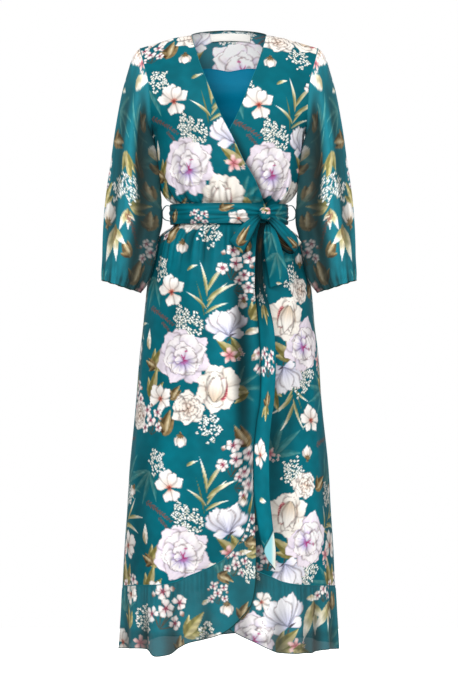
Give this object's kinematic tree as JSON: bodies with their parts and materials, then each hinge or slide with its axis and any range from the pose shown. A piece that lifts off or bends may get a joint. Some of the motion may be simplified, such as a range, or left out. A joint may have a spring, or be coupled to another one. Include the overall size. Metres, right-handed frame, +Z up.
{
  "type": "wrap dress",
  "caption": "Wrap-front midi dress, worn and hollow, with sheer gathered sleeves, a tied sash and a curved ruffle hem.",
  "frame": {"origin": "midway between the two side-neck points, where the shoulders hold the dress up", "axes": "+Z up, -Y the wearer's front, +X the wearer's left"},
  "size_m": [0.509, 0.3285, 1.2453],
  "materials": {
    "print": "soft woven print with a slight sheen",
    "sheer_print": "sheer crepe print",
    "lining": "smooth satin",
    "label": "woven satin, bare",
    "thread": "matt thread chain"
  },
  "bodies": {
    "root": {"bodice_front_right": "print", "bodice_front_left": "print", "back_bodice": "print", "back_lining": "lining", "neck_label": "label", "sleeve_right": "sheer_print", "sleeve_left": "sheer_print", "skirt_front_right": "print", "skirt_front_left": "print", "skirt_back": "print", "ruffle_front_right": "sheer_print", "ruffle_front_left": "sheer_print", "ruffle_back": "sheer_print", "sash_belt": "print", "bow_knot": "print", "bow_loop_right": "print", "bow_loop_left": "print", "sash_tail_short": "print", "sash_tail_long": "print", "belt_loop_right": "thread", "belt_loop_left": "thread"}
  },
  "joints": []
}
